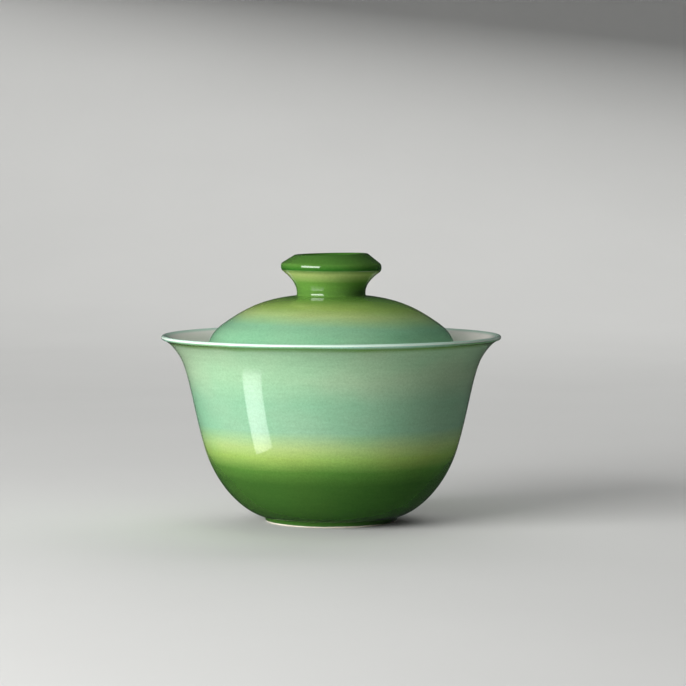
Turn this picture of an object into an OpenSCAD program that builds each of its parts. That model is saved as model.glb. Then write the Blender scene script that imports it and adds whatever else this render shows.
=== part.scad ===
// Gaiwan: a flared porcelain tea bowl on a low foot, with a domed lid that sits inside
// its rim and is lifted by a hollow ring knob. Millimetres, +Z up. The origin is the
// centre of the foot, on the surface that the bowl stands on.
//
// Everything is round about Z, so each piece is one outline turned about that axis. An
// outline runs through a few knots with a smooth curve between each two. The clay and
// its glaze share the same points, so each coat lies on its clay with no gap.

/* [Bowl] */
// Diameter over the lip
rim_d = 102; // [96:1:108]
// Height from the standing surface to the top of the lip
bowl_h = 56.2; // [54:0.2:59]
// Thickness of the rolled lip
lip_t = 1.3; // [1.1:0.1:1.6]
// Wall thickness where the rim stops flaring
shoulder_t = 1.8; // [1.6:0.1:2.2]
// Wall thickness at the belly
belly_t = 2.4; // [2:0.1:3]
// Thickness of the bowl's floor, over the foot's hollow
floor_t = 3; // [2.6:0.2:4]

/* [Foot] */
// Outer diameter of the foot ring
foot_d = 39.8; // [37:0.2:42]
// Height of the foot ring outside, up to the belly
foot_h = 1.4; // [1.2:0.1:2]
// Thickness of the foot ring from outside to inside
foot_t = 2.7; // [2.2:0.1:3.4]
// Depth of the hollow inside the foot ring
foot_hollow = 3.2; // [2.6:0.2:3.6]
// Height of the bare clay that shows at the bottom of the foot
bare_h = 0.45; // [0.35:0.05:0.6]

/* [Lid] */
// Room between the lid's edge and the bowl, measured level
lid_gap = 0.4; // [0.3:0.05:0.6]
// Height of the dome from its edge to the neck of the knob
dome_h = 21.8; // [20:0.2:24]
// Thickness of the lid at the top
lid_top_t = 2.4; // [2:0.1:3]
// Thickness of the lid at its edge
lid_edge_t = 1.8; // [1.6:0.1:2.2]

/* [Knob] */
// Largest diameter of the knob, over its rim band
knob_d = 30.2; // [28:0.2:33]
// Diameter of the knob's neck, where it meets the dome
neck_d = 20.8; // [19.6:0.2:22]
// Height of the knob above the dome
knob_h = 12.5; // [11.6:0.1:14]
// Depth of the hollow in the top of the knob
hollow_depth = 8; // [7:0.2:9]

/* [Glaze] */
// Thickness of every coat of glaze
glaze_t = 0.25; // [0.2:0.05:0.35]

/* [Hidden] */
$fn = 128;

// Straight steps along each curve between two knots, along the knob's shorter ones, and
// round the lip
steps = 14;
knob_steps = 7;
roll_steps = 6;

// Porcelain, the white glaze and the green one
clay_colour = [0.93, 0.92, 0.88];
white_colour = [0.90, 0.91, 0.88];
green_colour = [0.42, 0.68, 0.42];

rim_r = rim_d / 2;
foot_r = foot_d / 2;
neck_r = neck_d / 2;
knob_r = knob_d / 2;

// Curves ---------------------------------------------------------------------------
// A knot is [radius, height, heading in degrees, handle before it, handle after it].
// A curve is the four points of a cubic between two knots.
function dir(heading) = [cos(heading), sin(heading)];
function place(knot) = [knot[0], knot[1]];
function curve(a, b) =
    [place(a), place(a) + a[4] * dir(a[2]), place(b) - b[3] * dir(b[2]), place(b)];

function along(c, t) =
    pow(1 - t, 3) * c[0] + 3 * pow(1 - t, 2) * t * c[1]
    + 3 * (1 - t) * t * t * c[2] + t * t * t * c[3];
function way(c, t) =
    pow(1 - t, 2) * (c[1] - c[0]) + 2 * (1 - t) * t * (c[2] - c[1]) + t * t * (c[3] - c[2]);
// Unit vector to the right of the way that the curve runs
function right(c, t) =
    let (v = way(c, t)) [v[1], -v[0]] / norm(v);

// Points of a curve, moved to its right by a depth that goes from d0 to d1. The bowl's
// outside runs down and the dome's runs out, so there the right is into the wall.
function track(c, d0 = 0, d1 = 0, n = steps) =
    [for (i = [0:n]) let (t = i / n) along(c, t) + (d0 + (d1 - d0) * t) * right(c, t)];
// The same for a row of knots, all at one depth
function run(knots, depth = 0, n = steps) =
    [for (k = [1:len(knots) - 1]) each track(curve(knots[k - 1], knots[k]), depth, depth, n)];
function arc(centre, radius, a0, a1) =
    [for (i = [0:roll_steps]) centre + radius * dir(a0 + (a1 - a0) * i / roll_steps)];
function reversed(points) = [for (i = [len(points) - 1:-1:0]) points[i]];
// A point that repeats its neighbour is left out
function tidy(points) =
    [for (i = [0:len(points) - 1])
        if (i == 0 || norm(points[i] - points[i - 1]) > 0.001) points[i]];

module turned(points) {
    rotate_extrude() polygon(tidy(points));
}

// Outlines of the bowl -------------------------------------------------------------
// The lip is a roll. The wall leaves it under its outside, and the roll's other side
// leads into the bowl.
lip_centre = [rim_r - lip_t / 2, bowl_h - lip_t / 2];
lip_leave = -75;
lip_point = lip_centre + lip_t / 2 * dir(lip_leave);

lip_knot = [lip_point[0], lip_point[1], 180 + 17, 0, 1.35];
shoulder_knot = [0.894 * rim_r, 0.89 * bowl_h, 180 + 58, 3.8, 5.5];
belly_knot = [0.745 * rim_r, 0.391 * bowl_h, 180 + 73.3, 11.8, 11.5];
foot_knot = [foot_r, foot_h, 180 + 11.5, 7, 0];

flare = curve(lip_knot, shoulder_knot);
side = curve(shoulder_knot, belly_knot);
belly = curve(belly_knot, foot_knot);

// Inside, the wall's depth grows from the lip to the belly. Below that the inside has
// its own curve into a flat floor.
floor_z = foot_hollow + floor_t;
floor_r = 0.275 * rim_r;
belly_inside = along(side, 1) + belly_t * right(side, 1);
bowl_inside_low = curve(
    [belly_inside[0], belly_inside[1], belly_knot[2], 0, 12.5],
    [floor_r, floor_z, 180, 11.5, 0]);

foot_inner_r = foot_r - foot_t;
hollow_corner_r = 1;

bowl_skin = concat(
    arc(lip_centre, lip_t / 2, 0, lip_leave),
    track(flare), track(side), track(belly),
    [[foot_r, bare_h]]);
bowl_clay = concat(
    arc(lip_centre, lip_t / 2 - glaze_t, 0, lip_leave),
    track(flare, glaze_t, glaze_t), track(side, glaze_t, glaze_t), track(belly, glaze_t, glaze_t),
    [[foot_r - glaze_t, foot_h + glaze_t * 0.8], [foot_r - glaze_t, bare_h]]);
bowl_inner_skin = concat(
    arc(lip_centre, lip_t / 2, 0, 180 + lip_leave),
    track(flare, lip_t, shoulder_t), track(side, shoulder_t, belly_t),
    track(bowl_inside_low), [[0, floor_z]]);
bowl_inner_clay = concat(
    arc(lip_centre, lip_t / 2 - glaze_t, 0, 180 + lip_leave),
    track(flare, lip_t - glaze_t, shoulder_t - glaze_t),
    track(side, shoulder_t - glaze_t, belly_t - glaze_t),
    track(bowl_inside_low, -glaze_t, -glaze_t), [[0, floor_z - glaze_t]]);

// The hollow inside the foot ring, from the centre out and down, as the glaze covers it
foot_roof_corner = [foot_inner_r - hollow_corner_r, foot_hollow - hollow_corner_r];
foot_skin = concat(
    [[0, foot_hollow]],
    arc(foot_roof_corner, hollow_corner_r, 90, 0),
    [[foot_inner_r, bare_h]]);
foot_clay = concat(
    [[0, foot_hollow + glaze_t]],
    arc(foot_roof_corner, hollow_corner_r + glaze_t, 90, 0),
    [[foot_inner_r + glaze_t, bare_h]]);

// The bare ring that the bowl stands on, its two edges rounded
tread_round = 0.3;
tread_out = foot_r - glaze_t - tread_round;
tread_in = foot_inner_r + glaze_t + tread_round;
tread = concat(
    arc([tread_out, tread_round], tread_round, 0, -90),
    arc([tread_in, tread_round], tread_round, -90, -180));

// Outlines of the lid --------------------------------------------------------------
// The lid's edge stands this far down the bowl's side, a little inside the wall.
seat_t = 0.235;
seat_wall = shoulder_t + (belly_t - shoulder_t) * seat_t;
seat_point = along(side, seat_t) + seat_wall * right(side, seat_t);
edge_r = seat_point[0] - lid_gap;
edge_z = seat_point[1];
neck_z = edge_z + dome_h;

dome_knots = [
    [neck_r, neck_z, -5.8, 0, 10.1],
    [0.786 * edge_r, edge_z + 0.606 * dome_h, -35.5, 8.3, 4.9],
    [edge_r, edge_z, -58, 9, 0]];
dome_top = curve(dome_knots[0], dome_knots[1]);
dome_side = curve(dome_knots[1], dome_knots[2]);
dome_mid_t = (lid_top_t + lid_edge_t) / 2;

dome_skin = run(dome_knots);
dome_clay = run(dome_knots, glaze_t);
seat_z = dome_clay[0][1];
dome_inner_skin = concat(
    [[0, along(dome_top, 0)[1] - lid_top_t]],
    track(dome_top, lid_top_t, dome_mid_t), track(dome_side, dome_mid_t, lid_edge_t));
dome_inner_clay = concat(
    [[0, along(dome_top, 0)[1] - lid_top_t + glaze_t]],
    track(dome_top, lid_top_t - glaze_t, dome_mid_t - glaze_t),
    track(dome_side, dome_mid_t - glaze_t, lid_edge_t - glaze_t));

// The lid's bare edge is rounded, between the two coats
edge_out = dome_clay[len(dome_clay) - 1];
edge_in = dome_inner_clay[len(dome_inner_clay) - 1];
edge_centre = (edge_out + edge_in) / 2;
edge_heading = dome_knots[2][2] + 90;
lid_edge = arc(edge_centre, norm(edge_out - edge_in) / 2, edge_heading, edge_heading - 180);

// Outline of the knob, up its neck, over its rim band and crest and down its hollow
crest_z = neck_z + knob_h;
band_z = crest_z - 3.8;
hollow_z = crest_z - hollow_depth;
knob_knots = [
    [neck_r, neck_z, 101, 0, 2.5],
    [knob_r - 0.8, band_z - 1.7, 37, 3.6, 0.9],
    [knob_r, band_z, 90, 0.8, 0.6],
    [knob_r - 0.6, band_z + 1.25, 145, 0.5, 1.3],
    [neck_r + 0.9, crest_z - 0.3, 145, 1.3, 0.4],
    [neck_r, crest_z, 180, 0.4, 0.4],
    [neck_r - 0.9, crest_z - 1.1, 255, 0.7, 2.4],
    [0.42 * neck_r, hollow_z, 180, 3.4, 0]];
knob_skin = concat(run(knob_knots, 0, knob_steps), [[0, hollow_z]]);
// The knob's outside runs up, so its clay is to the left. It goes down to the dome's.
knob_clay = concat(
    [[neck_r - glaze_t, seat_z]],
    [for (p = run(knob_knots, -glaze_t, knob_steps)) if (p[1] > seat_z + glaze_t) p],
    [[0, hollow_z - glaze_t]]);

// Pieces of the bowl ---------------------------------------------------------------
module bowl_body() {
    color(clay_colour)
        turned(concat(bowl_clay, tread, reversed(foot_clay), reversed(bowl_inner_clay)));
}

module bowl_outer_glaze() {
    color(green_colour) turned(concat(bowl_skin, reversed(bowl_clay)));
}

module bowl_inner_glaze() {
    color(white_colour) turned(concat(bowl_inner_skin, reversed(bowl_inner_clay)));
}

module foot_glaze() {
    color(white_colour) turned(concat(foot_skin, reversed(foot_clay)));
}

// Pieces of the lid ----------------------------------------------------------------
module lid_dome() {
    color(clay_colour)
        turned(concat([[0, seat_z]], dome_clay, lid_edge, reversed(dome_inner_clay)));
}

module lid_knob() {
    color(clay_colour) turned(concat([[0, seat_z]], knob_clay));
}

module lid_outer_glaze() {
    color(green_colour)
        turned(concat(reversed(knob_skin), dome_skin, reversed(dome_clay), knob_clay));
}

module lid_inner_glaze() {
    color(white_colour) turned(concat(dome_inner_skin, reversed(dome_inner_clay)));
}

bowl_body();
bowl_outer_glaze();
bowl_inner_glaze();
foot_glaze();
lid_dome();
lid_knob();
lid_outer_glaze();
lid_inner_glaze();
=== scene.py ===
import math

import bpy
import numpy as np
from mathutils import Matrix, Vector, noise


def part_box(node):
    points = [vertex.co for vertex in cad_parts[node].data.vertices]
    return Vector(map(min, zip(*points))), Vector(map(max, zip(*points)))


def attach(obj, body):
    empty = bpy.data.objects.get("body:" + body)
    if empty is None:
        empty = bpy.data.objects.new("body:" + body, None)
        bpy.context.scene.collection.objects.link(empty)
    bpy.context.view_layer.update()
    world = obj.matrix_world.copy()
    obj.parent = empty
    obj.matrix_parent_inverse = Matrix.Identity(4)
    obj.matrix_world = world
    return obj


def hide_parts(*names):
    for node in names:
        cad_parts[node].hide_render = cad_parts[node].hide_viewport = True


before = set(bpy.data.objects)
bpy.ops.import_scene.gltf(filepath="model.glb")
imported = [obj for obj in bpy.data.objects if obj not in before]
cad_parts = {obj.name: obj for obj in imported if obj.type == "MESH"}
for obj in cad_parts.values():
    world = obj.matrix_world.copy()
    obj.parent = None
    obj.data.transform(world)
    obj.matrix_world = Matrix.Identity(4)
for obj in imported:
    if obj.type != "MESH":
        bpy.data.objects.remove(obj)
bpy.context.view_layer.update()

# The gaiwan's looks: every piece of the bowl and the lid is turned again as a fine mesh, sized
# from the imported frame, with the small unevenness that hand-thrown ware has, and glazed.
# Outlines are in millimetres, as in the part's source, and become metres in turn().

MM = 0.001


def top(node):
    """The highest corner of a CAD node's box, in millimetres."""
    return [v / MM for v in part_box(node)[1]]


# ---------------------------------------------------------------- sizes from the frame, mm
RIM_R, _, BOWL_H = top("bowl_inner_glaze")
GLAZE_T = RIM_R - top("bowl_body")[0]
KNOB_R = top("lid_knob")[0] + GLAZE_T
FOOT_INNER_R = top("foot_glaze")[0] - GLAZE_T
FOOT_HOLLOW = top("foot_glaze")[2] - GLAZE_T
BARE_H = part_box("foot_glaze")[0][2] / MM

# The rest of the design, as the part's source has it, mm
LIP_T = 1.3
SHOULDER_T = 1.8
BELLY_T = 2.4
FLOOR_T = 3.0
FOOT_T = 2.7
FOOT_H = 1.4
FOOT_R = FOOT_INNER_R + FOOT_T
TREAD_ROUND = 0.3
HOLLOW_CORNER_R = 1.0
LID_GAP = 0.4
DOME_H = 21.8
LID_TOP_T = 2.4
LID_EDGE_T = 1.8
NECK_R = 10.4
KNOB_H = 12.5
HOLLOW_DEPTH = 8.0
SEAT_T = 0.235

# Steps round the axis, along a curve, along one of the knob's shorter curves, round the lip
SEGMENTS = 256
STEPS = 26
KNOB_STEPS = 12
ROLL_STEPS = 12
# Steps round the foot's small corners, and along the straight stretches
CORNER_STEPS = 6
MIDDLE_STEPS = 8
WALL_STEPS = 5
FOOT_WALL_STEPS = 4


# ---------------------------------------------------------------- curves
def direction(heading):
    """Unit vector at a heading in degrees, from outward round to up."""
    return np.array([math.cos(math.radians(heading)), math.sin(math.radians(heading))])


def curve(a, b):
    """A cubic between two knots: [radius, height, heading, handle before, handle after]."""
    start, end = np.array(a[:2], float), np.array(b[:2], float)
    return start, start + a[4] * direction(a[2]), end - b[3] * direction(b[2]), end


def along(c, t):
    """The point of a curve at t, from 0 to 1."""
    s = 1 - t
    return s**3 * c[0] + 3 * s * s * t * c[1] + 3 * s * t * t * c[2] + t**3 * c[3]


def right(c, t):
    """Unit vector to the right of the way that the curve runs."""
    s = 1 - t
    v = s * s * (c[1] - c[0]) + 2 * s * t * (c[2] - c[1]) + t * t * (c[3] - c[2])
    return np.array([v[1], -v[0]]) / np.linalg.norm(v)


def track(c, d0=0.0, d1=0.0, n=STEPS):
    """Points of a curve, moved to its right by a depth that goes from d0 to d1."""
    return [along(c, t) + (d0 + (d1 - d0) * t) * right(c, t) for t in np.linspace(0, 1, n + 1)]


def run(knots, depth=0.0, n=STEPS):
    """The same for a row of knots, all at one depth."""
    return [p for a, b in zip(knots, knots[1:]) for p in track(curve(a, b), depth, depth, n)]


def arc(centre, radius, a0, a1, n=ROLL_STEPS):
    """Points round a centre, from one heading to another."""
    return [np.array(centre) + radius * direction(a) for a in np.linspace(a0, a1, n + 1)]


def straight(a, b, n):
    """Points on a line, without its first."""
    a, b = np.array(a, float), np.array(b, float)
    return [a + (b - a) * i / n for i in range(1, n + 1)]


# ---------------------------------------------------------------- outlines of the bowl
# Heading, from the lip's centre, at which the outer wall leaves its roll
LIP_LEAVE = -75
lip_centre = np.array([RIM_R - LIP_T / 2, BOWL_H - LIP_T / 2])
lip_point = lip_centre + LIP_T / 2 * direction(LIP_LEAVE)
shoulder_knot = (0.894 * RIM_R, 0.89 * BOWL_H, 180 + 58, 3.8, 5.5)
belly_knot = (0.745 * RIM_R, 0.391 * BOWL_H, 180 + 73.3, 11.8, 11.5)
flare = curve((lip_point[0], lip_point[1], 180 + 17, 0, 1.35), shoulder_knot)
side = curve(shoulder_knot, belly_knot)
belly = curve(belly_knot, (FOOT_R, FOOT_H, 180 + 11.5, 7, 0))

FLOOR_Z = FOOT_HOLLOW + FLOOR_T
floor_point = (0.275 * RIM_R, FLOOR_Z)
belly_inside = along(side, 1) + BELLY_T * right(side, 1)
inside_low = curve((*belly_inside, belly_knot[2], 0, 12.5), (*floor_point, 180, 11.5, 0))


def bowl_outside(depth):
    """From the lip's widest point down to the bare clay of the foot, at a depth in the wall."""
    wall = FOOT_R - depth
    points = arc(lip_centre, LIP_T / 2 - depth, 0, LIP_LEAVE)
    points += track(flare, depth, depth) + track(side, depth, depth) + track(belly, depth, depth)
    corner = (wall, FOOT_H + 0.8 * depth)
    return points + [np.array(corner)] + straight(corner, (wall, BARE_H), WALL_STEPS)


def bowl_inside(depth):
    """From the lip's widest point over its crest and down to the middle of the floor."""
    points = arc(lip_centre, LIP_T / 2 - depth, 0, 180 + LIP_LEAVE)
    points += track(flare, LIP_T - depth, SHOULDER_T - depth)
    points += track(side, SHOULDER_T - depth, BELLY_T - depth)
    points += track(inside_low, -depth, -depth)
    return points + straight(points[-1], (0, FLOOR_Z - depth), MIDDLE_STEPS)


def foot_inside(depth):
    """From the middle of the foot's hollow out and down to the bare clay."""
    corner = (FOOT_INNER_R - HOLLOW_CORNER_R, FOOT_HOLLOW - HOLLOW_CORNER_R)
    roof = arc(corner, HOLLOW_CORNER_R + depth, 90, 0, CORNER_STEPS)
    middle = (0, FOOT_HOLLOW + depth)
    bottom = (FOOT_INNER_R + depth, BARE_H)
    points = [np.array(middle)] + straight(middle, roof[0], MIDDLE_STEPS) + roof
    return points + straight(roof[-1], bottom, FOOT_WALL_STEPS)


def foot_tread():
    """The rounded ring of bare clay that the bowl stands on."""
    outer = (FOOT_R - GLAZE_T - TREAD_ROUND, TREAD_ROUND)
    inner = (FOOT_INNER_R + GLAZE_T + TREAD_ROUND, TREAD_ROUND)
    down = arc(outer, TREAD_ROUND, 0, -90, CORNER_STEPS)
    return down + arc(inner, TREAD_ROUND, -90, -180, CORNER_STEPS)


# ---------------------------------------------------------------- outlines of the lid
# SEAT_T is how far down the bowl's side the lid's edge sits, as a share of that curve
seat_wall = SHOULDER_T + (BELLY_T - SHOULDER_T) * SEAT_T
seat_point = along(side, SEAT_T) + seat_wall * right(side, SEAT_T)
EDGE_R, EDGE_Z = seat_point[0] - LID_GAP, seat_point[1]
NECK_Z = EDGE_Z + DOME_H
dome_knots = (
    (NECK_R, NECK_Z, -5.8, 0, 10.1),
    (0.786 * EDGE_R, EDGE_Z + 0.606 * DOME_H, -35.5, 8.3, 4.9),
    (EDGE_R, EDGE_Z, -58, 9, 0),
)
dome_top = curve(dome_knots[0], dome_knots[1])
dome_side = curve(dome_knots[1], dome_knots[2])
DOME_MID_T = (LID_TOP_T + LID_EDGE_T) / 2

CREST_Z = NECK_Z + KNOB_H
BAND_Z = CREST_Z - 3.8
HOLLOW_Z = CREST_Z - HOLLOW_DEPTH
knob_knots = (
    (NECK_R, NECK_Z, 101, 0, 2.5),
    (KNOB_R - 0.8, BAND_Z - 1.7, 37, 3.6, 0.9),
    (KNOB_R, BAND_Z, 90, 0.8, 0.6),
    (KNOB_R - 0.6, BAND_Z + 1.25, 145, 0.5, 1.3),
    (NECK_R + 0.9, CREST_Z - 0.3, 145, 1.3, 0.4),
    (NECK_R, CREST_Z, 180, 0.4, 0.4),
    (NECK_R - 0.9, CREST_Z - 1.1, 255, 0.7, 2.4),
    (0.42 * NECK_R, HOLLOW_Z, 180, 3.4, 0),
)


def dome_inside(depth):
    """From the middle of the lid's underside out to its edge."""
    points = track(dome_top, LID_TOP_T - depth, DOME_MID_T - depth)
    points += track(dome_side, DOME_MID_T - depth, LID_EDGE_T - depth)
    middle = (0, NECK_Z - LID_TOP_T + depth)
    return [np.array(middle)] + straight(middle, points[0], MIDDLE_STEPS) + points


def knob_clay_outline():
    """The clay of the knob, from the dome's seat up its neck and down its hollow."""
    points = [p for p in run(knob_knots, -GLAZE_T, KNOB_STEPS) if p[1] > SEAT_Z + GLAZE_T]
    start, end = (NECK_R - GLAZE_T, SEAT_Z), (0, HOLLOW_Z - GLAZE_T)
    return [np.array(start)] + points + straight(points[-1], end, WALL_STEPS)


dome_skin = run(dome_knots)
dome_clay = run(dome_knots, GLAZE_T)
dome_under = dome_inside(0)
dome_under_clay = dome_inside(GLAZE_T)
SEAT_Z = dome_clay[0][1]
edge_middle = (dome_clay[-1] + dome_under_clay[-1]) / 2
edge_radius = np.linalg.norm(dome_clay[-1] - dome_under_clay[-1]) / 2
edge_heading = dome_knots[-1][2] + 90
lid_edge = arc(edge_middle, edge_radius, edge_heading, edge_heading - 180)
knob_skin = run(knob_knots, 0, KNOB_STEPS)
knob_skin += straight(knob_skin[-1], (0, HOLLOW_Z), WALL_STEPS)
knob_clay = knob_clay_outline()


# ---------------------------------------------------------------- hand-thrown unevenness
# One smooth shift of space for each body, so that its pieces stay together. It dies out at
# the foot, which stays flat on the floor. Amounts in mm. The angles added to each wave only
# turn it, so that no two line up.
OVAL = 0.10
THREE_SIDED = 0.04
LIP_DIP = 0.07
RING_DEPTH = 0.012
RING_PITCH = 2.6
LID_OVAL = 0.05
# The throwing rings fade out over this much of the bowl's height at each end, and over this
# much of the lid's radius: from the knob's neck outwards, and before the edge
RING_FADE = 6
LID_RING_START = 12
LID_RING_FADE = 5
# Near the axis every shift fades to nothing, out to these radii
BOWL_STILL_R = 12
LIP_STILL_R = 30
# A larger circle through the noise gives a busier wiped edge
WIPE_CIRCLE = 2.2
# The knob's band sits lower on the right and its crest higher: a tilt, mm, by height
KNOB_SWAY = ((NECK_Z + 3, BAND_Z, CREST_Z, CREST_Z + 1), (0, -0.30, 0.20, 0.20))


def bowl_shift(angle, r, z):
    """How far out and up a point of the bowl is off true."""
    rise = np.clip(z / BOWL_H, 0, 1)
    out = OVAL * rise**1.5 * np.cos(2 * angle + 0.7)
    out = out + THREE_SIDED * rise * np.cos(3 * angle + 2.0)
    rings = np.sin(2 * np.pi * z / RING_PITCH + angle)
    fade = np.clip(z / RING_FADE, 0, 1) * np.clip((BOWL_H - z) / RING_FADE, 0, 1)
    out = out + RING_DEPTH * rings * fade
    up = LIP_DIP * rise**3 * np.cos(2 * angle + 2.1)
    return out * np.clip(r / BOWL_STILL_R, 0, 1), up * np.clip(r / LIP_STILL_R, 0, 1)


def lid_shift(angle, r, z):
    """The same for the lid."""
    out = LID_OVAL * np.cos(2 * angle - 0.4) + 0.5 * THREE_SIDED * np.cos(3 * angle)
    rings = np.sin(2 * np.pi * r / RING_PITCH - angle)
    fade = np.clip((r - LID_RING_START) / LID_RING_FADE, 0, 1)
    fade = fade * np.clip((EDGE_R - r) / LID_RING_FADE, 0, 1)
    up = RING_DEPTH * rings * fade
    up = up + np.interp(z, *KNOB_SWAY) * np.cos(angle) * np.clip(r / NECK_R, 0, 1)
    return out * np.clip(r / EDGE_R, 0, 1), up


def edge_wander(angle, seed, amount):
    """A smooth closed line's wandering, for the edge where a coat of glaze was wiped off: the
    noise met on the way round a circle, with 4 octaves, each twice as fine as the last."""
    circle = [WIPE_CIRCLE * Vector((math.cos(a), math.sin(a), 0)) for a in angle]
    ring = [noise.fractal(point + Vector((0, 0, seed)), 0.8, 2.0, 4) for point in circle]
    return amount * np.array(ring)


# ---------------------------------------------------------------- lathe
# Points nearer to each other than this are one point; nearer to the axis, they are on it. mm
SAME_POINT = 0.002
ON_AXIS = 0.001


def without_repeats(points):
    """The outline without points that repeat their neighbour."""
    kept = [points[0]]
    for p in points[1:]:
        if np.linalg.norm(p - kept[-1]) > SAME_POINT:
            kept.append(p)
    if np.linalg.norm(kept[0] - kept[-1]) < SAME_POINT:
        kept.pop()
    return np.array(kept)


def signed_area(points):
    """Twice the area inside an outline; negative where it runs clockwise."""
    r, z = points.T
    return np.sum(r * np.roll(z, -1) - np.roll(r, -1) * z)


def band_faces(low, high):
    """Faces between two neighbouring rings of vertices; a ring of one is on the axis."""
    faces = []
    for i in range(SEGMENTS):
        j = (i + 1) % SEGMENTS
        if len(low) > 1 and len(high) > 1:
            faces.append((low[i], low[j], high[j], high[i]))
        elif len(low) > 1:
            faces.append((low[i], low[j], high[0]))
        elif len(high) > 1:
            faces.append((low[0], high[j], high[i]))
    return faces


def new_object(name, vertices, faces):
    """A smooth-shaded mesh object in the scene."""
    mesh = bpy.data.meshes.new(name)
    mesh.from_pydata(vertices, [], faces)
    mesh.shade_smooth()
    made = bpy.data.objects.new(name, mesh)
    bpy.context.scene.collection.objects.link(made)
    return made


def turn(name, outline, shift, wiped=None):
    """A closed solid turned from an outline in mm. wiped is (height, reach, seed, amount) of
    an edge of glaze that wanders up and down."""
    points = without_repeats(outline)
    if signed_area(points) < 0:
        points = points[::-1]
    angle = np.arange(SEGMENTS) * 2 * np.pi / SEGMENTS
    if wiped:
        edge, reach, seed, amount = wiped
        wander = edge_wander(angle, seed, amount)
    vertices, rings = [], []
    for r, z in points:
        if r < ON_AXIS:
            rings.append([len(vertices)])
            vertices.append((0.0, 0.0, z * MM))
            continue
        out, up = shift(angle, r, z)
        height = z + up
        if wiped:
            height = height + wander * np.clip(1 - (z - edge) / reach, 0, 1)
        x, y = (r + out) * np.cos(angle), (r + out) * np.sin(angle)
        rings.append(list(range(len(vertices), len(vertices) + SEGMENTS)))
        vertices.extend(zip(x * MM, y * MM, np.broadcast_to(height, x.shape) * MM))
    faces = [face for low, high in zip(rings, rings[1:] + rings[:1]) for face in band_faces(low, high)]
    return new_object(name, [tuple(float(c) for c in v) for v in vertices], faces)


# ---------------------------------------------------------------- materials
GLAZE_IOR = 1.52


def linear(colour):
    """An sRGB colour as the linear RGBA that shaders work in."""
    def channel(c):
        return c / 12.92 if c < 0.04045 else ((c + 0.055) / 1.055) ** 2.4
    return (*[channel(c) for c in colour], 1.0)


class Shader:
    """A material's node tree, with short calls for the nodes that these glazes need."""

    def __init__(self, name):
        self.material = bpy.data.materials.new(name)
        self.material.use_nodes = True
        self.tree = self.material.node_tree
        self.surface = self.tree.nodes["Principled BSDF"]
        self.place = self.add("ShaderNodeTexCoord").outputs["Object"]
        split = self.add("ShaderNodeSeparateXYZ")
        self.join(self.place, split.inputs[0])
        self.axes = split.outputs

    def add(self, kind, **settings):
        node = self.tree.nodes.new(kind)
        for key, value in settings.items():
            setattr(node, key, value)
        return node

    def join(self, source, target):
        """Link an output to a socket, or set the socket where the source is a plain value."""
        if isinstance(source, bpy.types.NodeSocket):
            self.tree.links.new(source, target)
        else:
            target.default_value = source

    def math(self, operation, *values):
        node = self.add("ShaderNodeMath", operation=operation)
        for value, socket in zip(values, node.inputs):
            self.join(value, socket)
        return node.outputs[0]

    def radius(self):
        """Distance from the axis, in metres."""
        squares = [self.math("MULTIPLY", self.axes[i], self.axes[i]) for i in (0, 1)]
        return self.math("SQRT", self.math("ADD", *squares))

    def noise(self, scale, stretch=(1, 1, 1), detail=3.0, roughness=0.5):
        """Noise from 0 to 1 in the object's own space; scale is in waves a metre."""
        mapping = self.add("ShaderNodeMapping")
        self.join(self.place, mapping.inputs["Vector"])
        mapping.inputs["Scale"].default_value = stretch
        node = self.add("ShaderNodeTexNoise")
        self.join(mapping.outputs[0], node.inputs["Vector"])
        node.inputs["Scale"].default_value = scale
        node.inputs["Detail"].default_value = detail
        node.inputs["Roughness"].default_value = roughness
        return node.outputs[0]

    def about_zero(self, value, amount):
        """A 0 to 1 value moved to run from -amount to amount."""
        return self.math("MULTIPLY_ADD", value, 2 * amount, -amount)

    def between(self, value, low, high):
        """0 below low, 1 above high, smooth between."""
        node = self.add("ShaderNodeMapRange", interpolation_type="SMOOTHSTEP")
        self.join(value, node.inputs["Value"])
        node.inputs["From Min"].default_value = low
        node.inputs["From Max"].default_value = high
        return node.outputs["Result"]

    def mix(self, factor, a, b, blend="MIX"):
        """Two colours mixed. The node has a set of sockets for each kind of value; these are
        the colour ones."""
        node = self.add("ShaderNodeMix", data_type="RGBA", blend_type=blend)
        self.join(factor, node.inputs["Factor"])
        self.join(a, node.inputs[6])
        self.join(b, node.inputs[7])
        return node.outputs[2]

    def ramp(self, value, stops):
        """Colours by a value: stops are (value, sRGB colour), lowest first."""
        low, high = stops[0][0], stops[-1][0]
        scaled = self.add("ShaderNodeMapRange")
        self.join(value, scaled.inputs["Value"])
        scaled.inputs["From Min"].default_value = low
        scaled.inputs["From Max"].default_value = high
        node = self.add("ShaderNodeValToRGB")
        self.join(scaled.outputs["Result"], node.inputs[0])
        elements = node.color_ramp.elements
        elements[0].color, elements[1].color = linear(stops[0][1]), linear(stops[-1][1])
        for at, colour in stops[1:-1]:
            elements.new((at - low) / (high - low)).color = linear(colour)
        return node.outputs[0]

    def bump(self, *layers):
        """Relief from (0 to 1 value, depth in metres) layers, one after the other."""
        normal = None
        for value, depth in layers:
            node = self.add("ShaderNodeBump")
            self.join(value, node.inputs["Height"])
            node.inputs["Distance"].default_value = depth
            if normal is not None:
                self.join(normal, node.inputs["Normal"])
            normal = node.outputs[0]
        self.join(normal, self.surface.inputs["Normal"])

    def finish(self, colour, roughness):
        """The finished material. Clay and glaze have nearly the same index."""
        self.join(colour, self.surface.inputs["Base Color"])
        self.join(roughness, self.surface.inputs["Roughness"])
        self.surface.inputs["IOR"].default_value = GLAZE_IOR
        return self.material


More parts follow.
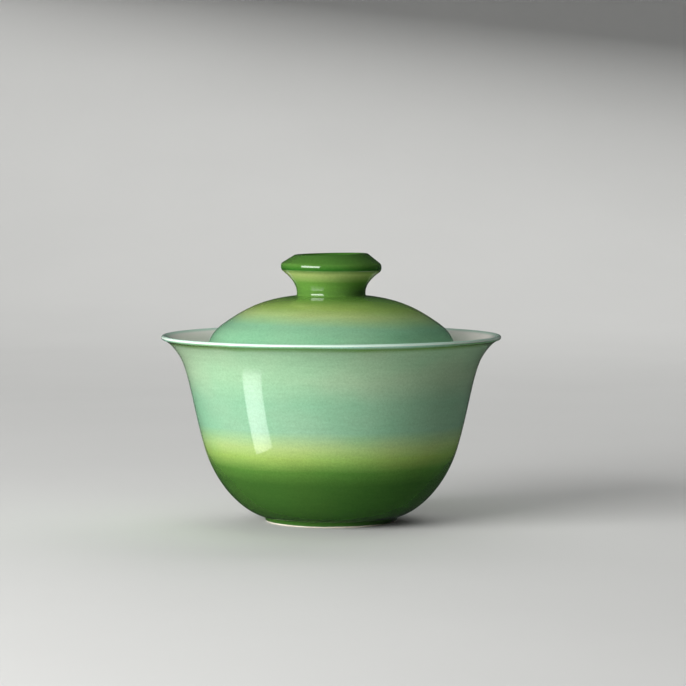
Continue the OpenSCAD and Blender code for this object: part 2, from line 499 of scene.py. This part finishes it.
# The sprayed greens, and one darker green that is painted shade, sRGB
FOOT_GREEN = (0.25, 0.40, 0.16)
PAINTED_SHADE_UNDER_BAND = (0.16, 0.38, 0.10)
# Painted shade: the dark green that stands for the shade under the knob's band
LEAF_GREEN = (0.34, 0.50, 0.21)
GRASS_GREEN = (0.40, 0.57, 0.24)
YELLOW_GREEN = (0.59, 0.70, 0.36)
PALE_LIME = (0.66, 0.75, 0.48)
BRIGHT_LIME = (0.74, 0.79, 0.49)
MINT = (0.56, 0.72, 0.59)
DEEP_MINT = (0.53, 0.72, 0.57)
CELADON = (0.64, 0.75, 0.61)
LIP_GREEN = (0.68, 0.83, 0.78)

# Where each green is at its purest, by height above the floor, mm; they blend in between
BOWL_BANDS = (
    (0, FOOT_GREEN),
    (14, FOOT_GREEN),
    (18, LEAF_GREEN),
    (22, YELLOW_GREEN),
    (25, PALE_LIME),
    (30, MINT),
    (38, MINT),
    (45, CELADON),
    (53.5, CELADON),
    # Just under the lip a darker line: partly pooled glaze, partly painted shade under the lip's roll
    (54.7, GRASS_GREEN),
    (55.8, LIP_GREEN),
)
LID_BANDS = (
    (52, DEEP_MINT),
    (59.5, DEEP_MINT),
    (62.8, PALE_LIME),
    (64.6, YELLOW_GREEN),
    (67.5, GRASS_GREEN),
    # At the knob's foot the green goes darker: painted shadow where the neck meets the dome
    (68.5, LEAF_GREEN),
    (72, GRASS_GREEN),
    (74.6, BRIGHT_LIME),
    # Under the knob's band: painted shade
    (75.9, PAINTED_SHADE_UNDER_BAND),
    (77.5, LEAF_GREEN),
    (81, FOOT_GREEN),
)
# The lid's bands sit higher on its left: mm of height per mm
LID_LEAN = 0.03
# Above this height the lid's bands are steadier, because the knob's are narrow. mm
STEADY_ABOVE = 68.5
# Inside the knob's hollow, which is within this radius and above this height, mm
HOLLOW_R, HOLLOW_FROM = 9.4, 72.0
HOLLOW_GREEN = (0.25, 0.45, 0.13)

# How far a band strays from its height, mm
DRIFT = 0.8
STREAK = 0.4
SPECKLE = 0.3
# How much of that is lost where the bands are steady
STEADINESS = 0.75
# Clouds of cooler green, and how much darker the spray's grain and the brush lines go
CLOUD_TINT = (0.93, 1.0, 0.985)
SPRAY_DEPTH = 0.10
BRUSH_DEPTH = 0.045

# The white glaze, where it pooled, and where the green spray tints it over the lip; the bare
# clay, and its grime
WHITE_GLAZE = (0.96, 0.95, 0.915)
POOLED_WHITE = (0.92, 0.935, 0.905)
LIP_TINT = (0.74, 0.86, 0.79)
BARE_CLAY = (0.87, 0.84, 0.78)
CLAY_SHADE = (0.79, 0.75, 0.68)


# Depths of relief, mm
WAVE_DEPTH = 0.022
PEEL_DEPTH = 0.0012
TOOTH_DEPTH = 0.02
TURNING_DEPTH = 0.03


def glaze_relief(shader):
    """A glaze's skin: it runs in slow waves and a faint orange peel."""
    waves = shader.noise(150, (1, 1, 0.7), 2.0)
    peel = shader.noise(1100, detail=1.0)
    shader.bump((waves, WAVE_DEPTH * MM), (peel, PEEL_DEPTH * MM))


def glaze_roughness(shader, lowest, spread):
    """A gloss that varies a little from place to place."""
    return shader.math("MULTIPLY_ADD", shader.noise(400, detail=2.0), spread, lowest)


def band_wander(shader, height, lean, steady_above):
    """How far the bands are off their height, mm: slow drift, brush streaks and speckle."""
    drift = shader.about_zero(shader.noise(22, detail=2.0), DRIFT)
    streaks = shader.about_zero(shader.noise(70, (1, 1, 10), 3.0, 0.6), STREAK)
    speckle = shader.about_zero(shader.noise(2300, detail=2.0, roughness=0.7), SPECKLE)
    wander = shader.math("ADD", shader.math("ADD", drift, streaks), speckle)
    if lean:
        wander = shader.math("MULTIPLY_ADD", shader.axes[0], lean / MM, wander)
    if steady_above:
        calm = shader.between(height, steady_above - 2, steady_above)
        kept = shader.math("MULTIPLY_ADD", calm, -STEADINESS, 1.0)
        wander = shader.math("MULTIPLY", wander, kept)
    return wander


def inside_hollow(shader, radius, height):
    """1 within a radius of the axis and above a height, both in mm, and 0 elsewhere."""
    outside = shader.between(shader.radius(), radius * MM, (radius + 0.7) * MM)
    above = shader.between(shader.axes[2], (height - 0.5) * MM, height * MM)
    return shader.math("MULTIPLY", shader.math("SUBTRACT", 1.0, outside), above)


def sprayed_grain(shader, colour):
    """The colour with the spray's fine grain and faint level brush lines."""
    spray = shader.noise(1700, detail=2.0, roughness=0.8)
    brushed = shader.noise(130, (1, 1, 8), 4.0, 0.6)
    for grain, depth in ((spray, SPRAY_DEPTH), (brushed, BRUSH_DEPTH)):
        shade = shader.ramp(grain, ((0.25, (1 - depth,) * 3), (0.75, (1.0, 1.0, 1.0))))
        colour = shader.mix(1.0, colour, shade, "MULTIPLY")
    return colour


def green_glaze(name, bands, lean=0.0, steady_above=None, hollow=None):
    """The sprayed green coat. Its bands lean, in mm of height per mm to the left, and wander
    less above the height steady_above. hollow is (radius, height) in mm of a hollow that is
    all one green."""
    shader = Shader(name)
    height = shader.math("MULTIPLY", shader.axes[2], 1 / MM)
    wander = band_wander(shader, height, lean, steady_above)
    colour = shader.ramp(shader.math("ADD", height, wander), bands)
    if hollow:
        colour = shader.mix(inside_hollow(shader, *hollow), colour, linear(HOLLOW_GREEN))
    clouds = shader.between(shader.noise(26, (1, 1, 1.6), 3.0), 0.35, 0.7)
    colour = shader.mix(clouds, colour, linear(CLOUD_TINT), "MULTIPLY")
    colour = sprayed_grain(shader, colour)
    glaze_relief(shader)
    return shader.finish(colour, glaze_roughness(shader, 0.03, 0.04))


def white_glaze(name, tint_above=None):
    """The clear coat over white clay, a little greener and cooler where it pooled. tint_above
    is the height in mm above which the green spray reaches over the lip."""
    shader = Shader(name)
    pooled = shader.between(shader.noise(30, detail=3.0), 0.35, 0.75)
    colour = shader.mix(pooled, linear(WHITE_GLAZE), linear(POOLED_WHITE))
    if tint_above:
        edge = shader.between(shader.axes[2], (tint_above - 0.8) * MM, tint_above * MM)
        colour = shader.mix(edge, colour, linear(LIP_TINT))
    glaze_relief(shader)
    return shader.finish(colour, glaze_roughness(shader, 0.04, 0.05))


def bare_porcelain(name):
    """Unglazed clay: matt, with a fine tooth and a little kiln grime."""
    shader = Shader(name)
    grime = shader.between(shader.noise(420, detail=5.0, roughness=0.65), 0.5, 0.8)
    colour = shader.mix(grime, linear(BARE_CLAY), linear(CLAY_SHADE))
    tooth = shader.noise(5200, detail=3.0, roughness=0.7)
    turning = shader.noise(120, (0.2, 0.2, 30), 2.0)
    shader.bump((tooth, TOOTH_DEPTH * MM), (turning, TURNING_DEPTH * MM))
    roughness = shader.math("MULTIPLY_ADD", tooth, 0.25, 0.55)
    return shader.finish(colour, roughness)


clay = bare_porcelain("bare_porcelain_fine")
green_on_bowl = green_glaze("green_glaze_bowl", BOWL_BANDS)
green_on_lid = green_glaze("green_glaze_lid", LID_BANDS, LID_LEAN, STEADY_ABOVE,
                           (HOLLOW_R, HOLLOW_FROM))
white_in_bowl = white_glaze("white_glaze_bowl", BOWL_H - 0.1)
white_plain = white_glaze("white_glaze_plain")


# ---------------------------------------------------------------- pieces
def back(points):
    """The same points the other way, to close an outline."""
    return points[::-1]


tread = foot_tread()
bowl_clay_outline = bowl_outside(GLAZE_T) + tread + back(foot_inside(GLAZE_T))
bowl_clay_outline += back(bowl_inside(GLAZE_T))
outlines = {
    "bowl_body": bowl_clay_outline,
    "bowl_outer_glaze": bowl_outside(0) + back(bowl_outside(GLAZE_T)),
    "bowl_inner_glaze": bowl_inside(0) + back(bowl_inside(GLAZE_T)),
    "foot_glaze": foot_inside(0) + back(foot_inside(GLAZE_T)),
    "lid_dome": [np.array((0, SEAT_Z))] + dome_clay + lid_edge + back(dome_under_clay),
    "lid_knob": [np.array((0, SEAT_Z))] + knob_clay,
    "lid_outer_glaze": back(knob_skin) + dome_skin + back(dome_clay) + knob_clay,
    "lid_inner_glaze": dome_under + back(dome_under_clay),
}
materials = {
    "bowl_body": (clay, "bare_porcelain"),
    "bowl_outer_glaze": (green_on_bowl, "green_glaze"),
    "bowl_inner_glaze": (white_in_bowl, "white_glaze"),
    "foot_glaze": (white_plain, "white_glaze"),
    "lid_dome": (clay, "bare_porcelain"),
    "lid_knob": (clay, "bare_porcelain"),
    "lid_outer_glaze": (green_on_lid, "green_glaze"),
    "lid_inner_glaze": (white_plain, "white_glaze"),
}
# Edges where glaze was wiped from the clay: height, reach, seed, amount, mm
wiped_edges = {
    "bowl_outer_glaze": (BARE_H, 0.9, 3.0, 0.14),
    "foot_glaze": (BARE_H, 0.9, 8.0, 0.20),
}

for node, outline in outlines.items():
    on_lid = node.startswith("lid")
    piece = turn(f"turned_{node}", outline, lid_shift if on_lid else bowl_shift,
                 wiped_edges.get(node))
    material, slot = materials[node]
    piece.data.materials.append(material)
    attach(piece, "lid" if on_lid else "bowl")
    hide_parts(node)


# ---------------------------------------------------------------- stage
def stage_material():
    """A matt pale grey, a touch uneven."""
    shader = Shader("pale_floor")
    tone = shader.noise(9, detail=4.0)
    colour = shader.ramp(tone, ((0.3, (0.825, 0.825, 0.815)), (0.7, (0.835, 0.835, 0.825))))
    shader.join(colour, shader.surface.inputs["Base Color"])
    shader.surface.inputs["Roughness"].default_value = 0.75
    return shader.material


BEND_STEPS = 16


def floor_and_backdrop(width, front, back_y, bend, height):
    """One sheet: the floor, a quarter bend at its back and the wall above it. Metres. The
    glaze doesn't mirror it, which keeps the greens deep."""
    bend_angles = np.linspace(0, math.pi / 2, BEND_STEPS + 1)
    section = [(front, 0.0)]
    section += [(back_y + bend * math.sin(a), bend - bend * math.cos(a)) for a in bend_angles]
    section.append((back_y + bend, height))
    vertices = [(x, y, z) for y, z in section for x in (-width / 2, width / 2)]
    faces = [(2 * i, 2 * i + 1, 2 * i + 3, 2 * i + 2) for i in range(len(section) - 1)]
    floor = new_object("studio_floor", vertices, faces)
    floor.data.materials.append(stage_material())
    floor.visible_glossy = False


def dim_world():
    """A faint cool light from everywhere."""
    world = bpy.data.worlds.new("studio")
    bpy.context.scene.world = world
    world.use_nodes = True
    background = world.node_tree.nodes["Background"]
    background.inputs["Color"].default_value = linear((0.90, 0.93, 0.96))
    background.inputs["Strength"].default_value = 0.03


def area_light(name, azimuth, elevation, distance, size, power, aim=(0, 0, 0.04)):
    """A soft white light. Azimuth is round from the camera, towards the left, in degrees;
    size is (across, up) and aim is a point, in metres; power is in watts."""
    a, e = math.radians(azimuth), math.radians(elevation)
    light = bpy.data.lights.new(name, "AREA")
    light.shape = "RECTANGLE"
    light.size, light.size_y = size
    light.energy = power
    lamp = bpy.data.objects.new(name, light)
    bpy.context.scene.collection.objects.link(lamp)
    away = Vector((-math.sin(a) * math.cos(e), -math.cos(a) * math.cos(e), math.sin(e)))
    lamp.location = Vector(aim) + away * distance
    lamp.rotation_euler = away.to_track_quat("Z", "Y").to_euler()
    return lamp


def soft_light(name, azimuth, elevation, power):
    """A broad light that the glaze doesn't mirror."""
    light = area_light(name, azimuth, elevation, distance=1.3, size=(1.8, 1.2), power=power)
    light.visible_glossy = False


def low_window():
    """A small card close to the bowl's left side that shows only as a reflection. It gives the
    wall the upright window that a softbox reaching below the table's edge would."""
    card = area_light("low_card", azimuth=69, elevation=-20, distance=0.04,
                      size=(0.0168, 0.0245), power=0.0006, aim=(-0.0198, -0.0347, 0.0286))
    card.data.spread = math.radians(50)
    card.visible_camera = False
    card.visible_diffuse = False


floor_and_backdrop(width=8.0, front=-3.0, back_y=0.9, bend=0.9, height=3.0)
dim_world()
area_light("key", azimuth=49, elevation=16, distance=0.9, size=(0.75, 0.5), power=14.4)
soft_light("top", azimuth=0, elevation=82, power=2.5)
soft_light("back", azimuth=192, elevation=36, power=11.5)
low_window()


# ---------------------------------------------------------------- camera
# Metres, degrees, and millimetres for the lens
CAMERA_DISTANCE = 0.9
CAMERA_ABOVE_LIP = 0.0532
LOOK_DOWN = 3.504
LOOK_RIGHT = 0.226
LENS = 157.2
SENSOR_WIDTH = 36.0


def place_camera():
    """A long lens a little above the rim, looking slightly down."""
    camera = bpy.data.cameras.new("camera")
    camera.lens = LENS
    camera.sensor_width = SENSOR_WIDTH
    camera.clip_start = 0.01
    eye = bpy.data.objects.new("camera", camera)
    bpy.context.scene.collection.objects.link(eye)
    eye.location = (0.0, -CAMERA_DISTANCE, lip_centre[1] * MM + CAMERA_ABOVE_LIP)
    eye.rotation_euler = (math.radians(90 - LOOK_DOWN), 0.0, math.radians(-LOOK_RIGHT))
    bpy.context.scene.camera = eye
    bpy.context.scene.view_settings.view_transform = "Standard"


place_camera()
